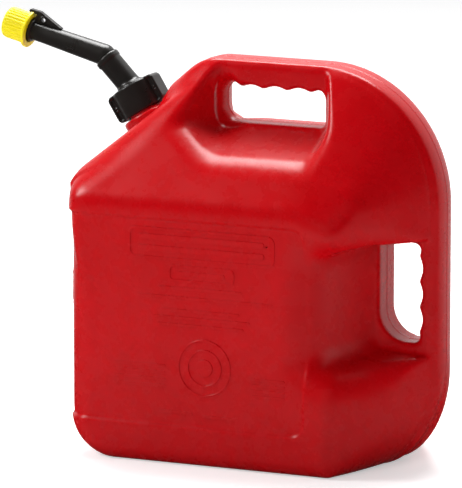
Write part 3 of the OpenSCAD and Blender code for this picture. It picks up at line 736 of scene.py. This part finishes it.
RED = plastic("red_polyethylene", (0.53, 0.0008, 0.004), (0.49, 0.0007, 0.003), (0.60, 0.02, 0.02),
              rough=0.27, specular=0.30, grain=900.0, grain_depth=0.00006, wave_depth=0.0006, scuffs=0.05)
BLACK = plastic("black_plastic", (0.012, 0.010, 0.009), (0.017, 0.015, 0.013), (0.05, 0.047, 0.043),
                rough=0.3, specular=0.5, grain=1400.0, grain_depth=0.00004, scuffs=0.2)
YELLOW = plastic("yellow_plastic", (0.93, 0.80, 0.004), (0.88, 0.74, 0.003), (0.9, 0.78, 0.12),
                 rough=0.38, specular=0.45, grain=1200.0, grain_depth=0.00004)
GREY = plastic("grey_acetal", (0.32, 0.32, 0.31), (0.26, 0.26, 0.25), (0.5, 0.5, 0.49),
               rough=0.45, specular=0.4, grain=1500.0, grain_depth=0.00003)
NATURAL = plastic("natural_tube", (0.72, 0.71, 0.66), (0.62, 0.61, 0.56), (0.8, 0.8, 0.76),
                  rough=0.4, specular=0.4, grain=1200.0, grain_depth=0.00003)
RUBBER = plastic("seal_rubber", (0.015, 0.015, 0.015), (0.024, 0.024, 0.023), (0.05, 0.05, 0.05),
                 rough=0.62, specular=0.35, grain=1600.0, grain_depth=0.00006)
FOAM = plastic("liner_foam", (0.72, 0.72, 0.68), (0.6, 0.6, 0.56), (0.8, 0.8, 0.78),
               rough=0.85, specular=0.2, grain=2500.0, grain_depth=0.0002)
STEEL = metal("spring_steel", (0.62, 0.62, 0.64), 0.28)

NODE_LOOKS = {
    "neck_gasket": (RUBBER, "seal_rubber"), "vent_tube": (NATURAL, "clear_tube"),
    "vent_holder": (GREY, "grey_plastic"), "barrel_o_ring": (RUBBER, "seal_rubber"),
    "barrel_clip": (STEEL, "spring_steel"), "spring_seat": (GREY, "grey_plastic"),
    "tip_seat": (GREY, "grey_plastic"), "rod_pin": (STEEL, "spring_steel"),
    "valve_rod": (GREY, "grey_plastic"), "valve_plug": (BLACK, "black_plastic"),
    "plug_seal": (RUBBER, "seal_rubber"), "return_spring": (STEEL, "spring_steel"),
    "cap_liner": (FOAM, "liner_foam"), "collar": (BLACK, "black_plastic"),
    "spout_base": (BLACK, "black_plastic"), "barrel": (BLACK, "black_plastic"),
    "trigger": (BLACK, "black_plastic"), "tip_cap": (YELLOW, "yellow_plastic"),
    "tank": (RED, "red_shell"),
}


def paint(obj, material):
    obj.data.materials.clear()
    obj.data.materials.append(material)


def fit(obj, material, body, slot, *nodes):
    """Gives a new piece its material and its body, and hides the CAD nodes it stands for. slot is not used.
    """
    paint(obj, material)
    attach(obj, body)
    if nodes:
        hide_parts(*nodes)
    return obj


for node_name, (look, _) in NODE_LOOKS.items():
    paint(frame["nodes"][node_name], look)


# ---------------------------------------------------------------- tank
def make_tank():
    edge_lines = ((0.0, 2.2, 0.55), (RIM_HALF, 4.5, 1.2), (HALF_WIDTH - 1, 4.0, 0.9))
    across = grid_lines(0.0, HALF_WIDTH + 3, 2.6, edge_lines)
    low, high, rear, _ = BELT
    along = grid_lines(FRONT_X - 3, REAR_X + 3, 2.6,
                       ((rear, 3, 1.3), (FRONT_X, 4, 1.3), (REAR_X - 13, 6, 1.8)))
    up = grid_lines(-3.0, HEIGHT + 3, 2.6, ((low, 3, 1.2), (high, 3, 1.2), (331, 5, 1.6)))
    obj = piece("tank_shell", tank_shape, (along, across, up), mirror=True)
    return fit(obj, RED, "tank", "red_shell", "tank")


make_tank()


def make_neck():
    sides = grid_lines(-18.0, 18.0, 0.7)
    obj = piece("tank_neck", neck_shape, (sides, sides, grid_lines(-1.0, NECK_TOP + 1, 0.6)), NECK)
    return fit(obj, RED, "tank", "red_shell")


make_neck()


# ---------------------------------------------------------------- plain raised marks on the side panels
def rounded_path(low_x, high_x, low_z, high_z, radius, steps=5):
    """Rounded rectangle as (x, z, outward x, outward z)."""
    path = []
    centres = ((high_x - radius, high_z - radius), (low_x + radius, high_z - radius),
               (low_x + radius, low_z + radius), (high_x - radius, low_z + radius))
    for quarter, (cx, cz) in enumerate(centres):
        for i in range(steps + 1):
            turn = math.pi / 2 * (quarter + i / steps)
            c, s = math.cos(turn), math.sin(turn)
            path.append((cx + radius * c, cz + radius * s, c, s))
    return path


def round_path(x, z, radius, steps=72):
    turns = [2 * math.pi * i / steps for i in range(steps)]
    return [(x + radius * math.cos(t), z + radius * math.sin(t), math.cos(t), math.sin(t)) for t in turns]


def add_mark(points, faces, path, half):
    """Raised band of the given half width along a closed path, or a filled pad when half is None."""
    top, brink = MARK_RISE, MARK_RISE - 0.3
    if half is None:
        section = [(0, -MARK_ROOT), (0, brink), (-MARK_EDGE, top)]
    else:
        section = [(-half, -MARK_ROOT), (-half, brink), (MARK_EDGE - half, top),
                   (half - MARK_EDGE, top), (half, brink), (half, -MARK_ROOT)]
    first, n, m = len(points), len(path), len(section)
    for x, z, nx, nz in path:
        points.extend((x + nx * out, rise, z + nz * out) for out, rise in section)
    for i in range(n):
        j = (i + 1) % n
        for k in range(m if half is not None else m - 1):
            nxt = (k + 1) % m
            faces.append([first + i * m + k, first + j * m + k, first + j * m + nxt, first + i * m + nxt])
    if half is None:
        faces.append([first + i * m for i in range(n)])
        faces.append([first + i * m + m - 1 for i in reversed(range(n))])


def make_marks(name, side):
    """One panel's marks: two frames with bars, rows of bars and a set of rings."""
    points, faces = [], []

    def frame_mark(low_x, high_x, low_z, high_z, radius, half):
        add_mark(points, faces, rounded_path(low_x, high_x, low_z, high_z, radius), half)

    def bar(low_x, high_x, low_z, thick, radius):
        add_mark(points, faces, rounded_path(low_x, high_x, low_z, low_z + thick, radius), None)

    frame_mark(-103, 37, 186, 212, 6, 1.2)
    for low_z in (191.5, 201.5):
        bar(-94, 28, low_z, 5.5, 2.4)
    frame_mark(-64, -2, 167, 180, 4, 1.1)
    bar(-56, -10, 171.5, 4, 1.8)
    for low_x, high_x, low_z in LINE_BARS:
        bar(low_x, high_x, low_z, 2.4, 1.1)
    ring_x, ring_z = RING_CENTRE
    for radius in (25, 16):
        add_mark(points, faces, round_path(ring_x, ring_z, radius), 0.8)
    add_mark(points, faces, round_path(ring_x, ring_z, 8), None)
    for row in range(4):
        bar(-119, -68, 70 + 6 * row, 2.4, 1.1)
        bar(16, 48, 68 + 5 * row, 2.2, 1.0)
    bar(-74, -42, 47, 2.6, 1.2)
    bar(-32, 2, 45, 2.6, 1.2)
    wall = HALF_WIDTH - BELT_DEPTH
    mesh = bpy.data.meshes.new(name)
    mesh.from_pydata([(x * MM, side * (wall + rise) * MM, z * MM) for x, rise, z in points], [], faces)
    form = bmesh.new()
    form.from_mesh(mesh)
    bmesh.ops.recalc_face_normals(form, faces=form.faces)
    form.to_mesh(mesh)
    form.free()
    obj = bpy.data.objects.new(name, mesh)
    bpy.context.scene.collection.objects.link(obj)
    return fit(obj, RED, "tank", "red_shell")


make_marks("panel_marks_near", -1)
make_marks("panel_marks_far", 1)


# ---------------------------------------------------------------- spout
def make_spout():
    collar = piece("screw_collar", collar_shape,
                   grid((-28, 28), (-22, 22), (COLLAR_LOW - 1, COLLAR_TOP + 1), step=0.6), NECK)
    fit(collar, BLACK, "collar", "black_plastic", "collar")
    base = piece("spout_lower_tube", spout_base_shape,
                 grid((-19, 19), (-19, 19), (-16, SEAM_HEIGHT + 1), step=0.6), LOWER)
    fit(base, BLACK, "spout", "black_plastic", "spout_base")
    barrel = piece("spout_upper_tube", barrel_shape,
                   grid((-18, 12), (-12, 12), (-23, BARREL_END + 1), step=0.6), UPPER)
    fit(barrel, BLACK, "barrel", "black_plastic", "barrel")
    hook = piece("hooked_trigger", trigger_shape,
                 grid((-12, 20), (-12, 12), (44, 89), step=0.5), UPPER)
    fit(hook, BLACK, "trigger", "black_plastic", "trigger")
    cap = piece("ribbed_cap", cap_shape,
                grid((-18, 18), (-18, 18), (CAP_LOW - 1, CAP_HIGH + 1), step=0.5), UPPER)
    fit(cap, YELLOW, "cap", "yellow_plastic", "tip_cap")


make_spout()


# ---------------------------------------------------------------- light, floor and camera
def make_floor():
    """Pale floor. The camera sees it white, and glossy surfaces see it lit only behind the can."""
    mesh = bpy.data.meshes.new("floor")
    half = FLOOR_SIZE / 2
    mesh.from_pydata([(-half, -half, 0), (half, -half, 0), (half, half, 0), (-half, half, 0)], [],
                     [(0, 1, 2, 3)])
    obj = bpy.data.objects.new("floor", mesh)
    bpy.context.scene.collection.objects.link(obj)
    material, tree, shader = nodes_of("pale_floor")
    coords = add(tree, "ShaderNodeTexCoord").outputs["Object"]
    tone = ranged(tree, noise(tree, coords, 0.8, 2.0), 0.3, 0.7, 0.0, 1.0)
    tree.links.new(mixed(tree, tone, (0.9, 0.9, 0.905), (0.88, 0.88, 0.885)), shader.inputs["Base Color"])
    shader.inputs["Roughness"].default_value = 0.9
    shader.inputs["Specular IOR Level"].default_value = 0.0
    shader.inputs["Emission Color"].default_value = (1, 1, 1, 1)
    shader.inputs["Emission Strength"].default_value = FLOOR_GLOW
    plain = add(tree, "ShaderNodeBsdfDiffuse", Color=(0.8, 0.8, 0.8, 1))
    parts = add(tree, "ShaderNodeSeparateXYZ")
    tree.links.new(coords, parts.inputs[0])
    behind = ranged(tree, parts.outputs["Y"], 0.15, 0.6, 0.0, 1.0)
    mirrored = add(tree, "ShaderNodeEmission")
    tree.links.new(mixed(tree, behind, (0.03, 0.027, 0.027), (0.8, 0.8, 0.8)), mirrored.inputs["Color"])
    ray = add(tree, "ShaderNodeLightPath")
    seen = add(tree, "ShaderNodeMixShader")
    choice = add(tree, "ShaderNodeMixShader")
    tree.links.new(ray.outputs["Is Camera Ray"], seen.inputs[0])
    tree.links.new(plain.outputs[0], seen.inputs[1])
    tree.links.new(shader.outputs[0], seen.inputs[2])
    tree.links.new(ray.outputs["Is Glossy Ray"], choice.inputs[0])
    tree.links.new(seen.outputs[0], choice.inputs[1])
    tree.links.new(mirrored.outputs[0], choice.inputs[2])
    tree.links.new(choice.outputs[0], tree.nodes["Material Output"].inputs["Surface"])
    material.cycles.emission_sampling = "NONE"
    mesh.materials.append(material)


def area_light(name, place, target, size, power):
    light = bpy.data.lights.new(name, "AREA")
    light.shape = "RECTANGLE"
    light.size, light.size_y = size
    light.energy = power
    obj = bpy.data.objects.new(name, light)
    bpy.context.scene.collection.objects.link(obj)
    obj.location = place
    obj.rotation_euler = (Vector(target) - Vector(place)).to_track_quat("-Z", "Y").to_euler()
    return obj


def make_light():
    """A soft box above and a little behind, a bright wall behind, and a dim room in front."""
    middle = (0, 0, 0.22)
    area_light("overhead", (-0.35, 0.75, 2.1), middle, (1.5, 1.2), 70)
    area_light("upper_left", (-1.7, -0.9, 1.5), middle, (0.6, 0.8), 26)
    front = area_light("front_fill", (0.6, -3.2, 1.4), middle, (2.2, 1.8), 36)
    front.visible_glossy = False
    world = bpy.data.worlds.new("studio")
    bpy.context.scene.world = world
    world.use_nodes = True
    tree = world.node_tree
    back = tree.nodes["Background"]
    coords = add(tree, "ShaderNodeTexCoord").outputs["Generated"]
    parts = add(tree, "ShaderNodeSeparateXYZ")
    tree.links.new(coords, parts.inputs[0])
    wall = ranged(tree, parts.outputs["Y"], 0.05, 0.4, 0.0, 1.0)
    room = mixed(tree, wall, (0.015, 0.015, 0.016), (0.95, 0.95, 0.95))
    ray = add(tree, "ShaderNodeLightPath")
    tree.links.new(mixed(tree, ray.outputs["Is Camera Ray"], room, (1.0, 1.0, 1.0)), back.inputs["Color"])


def make_camera():
    """Long lens, 25 degrees towards the rear grip's side and 10.5 degrees up."""
    turn, lift, distance = math.radians(25), math.radians(10.5), 5700 * MM
    target = Vector((-49.6, 0, 183.8)) * MM
    offset = Vector((math.sin(turn) * math.cos(lift), -math.cos(turn) * math.cos(lift), math.sin(lift)))
    data = bpy.data.cameras.new("camera")
    data.sensor_width = 36
    data.sensor_fit = "AUTO"
    data.lens = 470
    data.clip_end = 60
    camera = bpy.data.objects.new("camera", data)
    bpy.context.scene.collection.objects.link(camera)
    camera.location = target + offset * distance
    camera.rotation_euler = (-offset).to_track_quat("-Z", "Y").to_euler()
    bpy.context.scene.camera = camera


make_floor()
make_light()
make_camera()
bpy.context.scene.view_settings.view_transform = "Standard"
